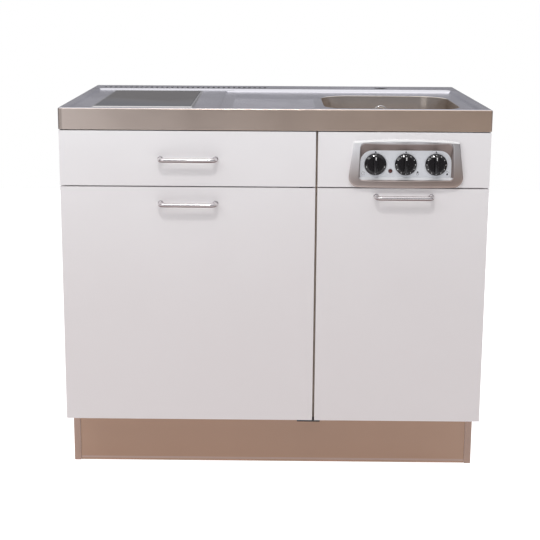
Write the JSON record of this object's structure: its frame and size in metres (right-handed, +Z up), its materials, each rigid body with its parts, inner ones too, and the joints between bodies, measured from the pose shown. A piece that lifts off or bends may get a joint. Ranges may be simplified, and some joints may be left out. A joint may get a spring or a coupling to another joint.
{
  "type": "kitchenette unit with sink and hob",
  "caption": "Free-standing kitchenette with pressed steel worktop, sink, glass hob, drawer, refrigerator behind a wide door and a cupboard under the sink.",
  "frame": {"origin": "bottom centre of the object's box, on the floor under the middle of its width and of its depth over the handles", "axes": "+X to the right seen from the front, +Y to the wall, +Z up"},
  "size_m": [1, 0.63, 0.9],
  "materials": {
    "worktop_steel": "brushed satin",
    "bowl_steel": "drawn satin",
    "chrome": "polished",
    "hob_glass": "dark polished glass ceramic",
    "hob_steel": "bevelled, satin",
    "sheet_metal": "galvanised sheet",
    "heater_fibre": "pressed fibre dish",
    "white_front": "smooth white, semi-gloss",
    "carcass_board": "white faced board",
    "plinth_finish": "satin foil",
    "silver_trim": "silver metallic",
    "panel_silver": "light satin",
    "black_plastic": "gloss",
    "dark_plastic": "matt",
    "lamp_red": "translucent dark red",
    "handle_steel": "satin",
    "zinc": "zinc plated",
    "white_plastic": "smooth",
    "fridge_paint": "light grey",
    "shelf_glass": "clear",
    "gasket": "soft",
    "black_metal": "matt black"
  },
  "bodies": {
    "carcass": {"worktop": "worktop_steel", "sink_bowl": "bowl_steel", "overflow_rose": "chrome", "overflow_pipe": "white_plastic", "sink_strainer": "chrome", "waste_trap": "white_plastic", "waste_pipe": "white_plastic", "hob_frame": "hob_steel", "hob_glass": "hob_glass", "hob_pan": "sheet_metal", "rear_heater": "heater_fibre", "front_heater": "heater_fibre", "left_side_panel": "carcass_board", "right_side_panel": "carcass_board", "centre_panel": "carcass_board", "left_floor": "carcass_board", "right_floor": "carcass_board", "rail_under_drawer": "carcass_board", "left_top_rail": "carcass_board", "right_top_rail": "carcass_board", "back_rails": "carcass_board", "back_panel": "carcass_board", "plinth_board": "plinth_finish", "fascia": "white_front", "control_bezel": "silver_trim", "control_plate": "panel_silver", "lamp_lens": "lamp_red", "timer_body": "dark_plastic", "zone_switches": "dark_plastic", "fridge_case": "fridge_paint", "fridge_liner": "white_plastic", "fridge_shelves": "shelf_glass", "compressor": "black_metal", "condenser": "black_metal", "lower_pivot_plate": "black_metal", "upper_pivot_plate": "black_metal", "pivot_screws": "zinc", "hinge_arms": "zinc", "cabinet_runners": "zinc"},
    "drawer": {"drawer_front": "white_front", "drawer_sides": "carcass_board", "drawer_back": "carcass_board", "drawer_bottom": "white_plastic", "drawer_handle": "handle_steel", "drawer_handle_screws": "zinc", "drawer_slides": "zinc"},
    "left_leaf": {"left_door": "white_front", "pivot_bushes": "white_plastic", "fridge_door": "white_plastic", "door_gasket": "gasket", "door_rack": "white_plastic", "left_door_handle": "handle_steel", "left_handle_screws": "zinc"},
    "right_leaf": {"right_door": "white_front", "hinge_cups": "zinc", "right_door_handle": "handle_steel", "right_handle_screws": "zinc"},
    "timer_dial": {"timer_knob": "black_plastic"},
    "rear_zone_dial": {"rear_zone_knob": "black_plastic"},
    "front_zone_dial": {"front_zone_knob": "black_plastic"}
  },
  "joints": [
    {"name": "drawer_slide", "type": "slide", "parent": "carcass", "child": "drawer", "axis": [0, -1, 0], "range_m": [0, 0.35]},
    {"name": "left_leaf_pivot", "type": "hinge", "parent": "carcass", "child": "left_leaf", "pos_m": [0.0865, -0.276, 0.431], "axis": [0, 0, 1], "range_deg": [0, 100]},
    {"name": "right_leaf_hinge", "type": "hinge", "parent": "carcass", "child": "right_leaf", "pos_m": [0.4895, -0.276, 0.431], "axis": [0, 0, 1], "range_deg": [0, 95]},
    {"name": "timer_turn", "type": "hinge", "parent": "carcass", "child": "timer_dial", "pos_m": [0.2338, -0.285, 0.7725], "axis": [0, 1, 0], "range_deg": [0, 300]},
    {"name": "rear_zone_turn", "type": "hinge", "parent": "carcass", "child": "rear_zone_dial", "pos_m": [0.304, -0.285, 0.7725], "axis": [0, 1, 0], "range_deg": [0, 330]},
    {"name": "front_zone_turn", "type": "hinge", "parent": "carcass", "child": "front_zone_dial", "pos_m": [0.3742, -0.285, 0.7725], "axis": [0, 1, 0], "range_deg": [0, 330]}
  ]
}
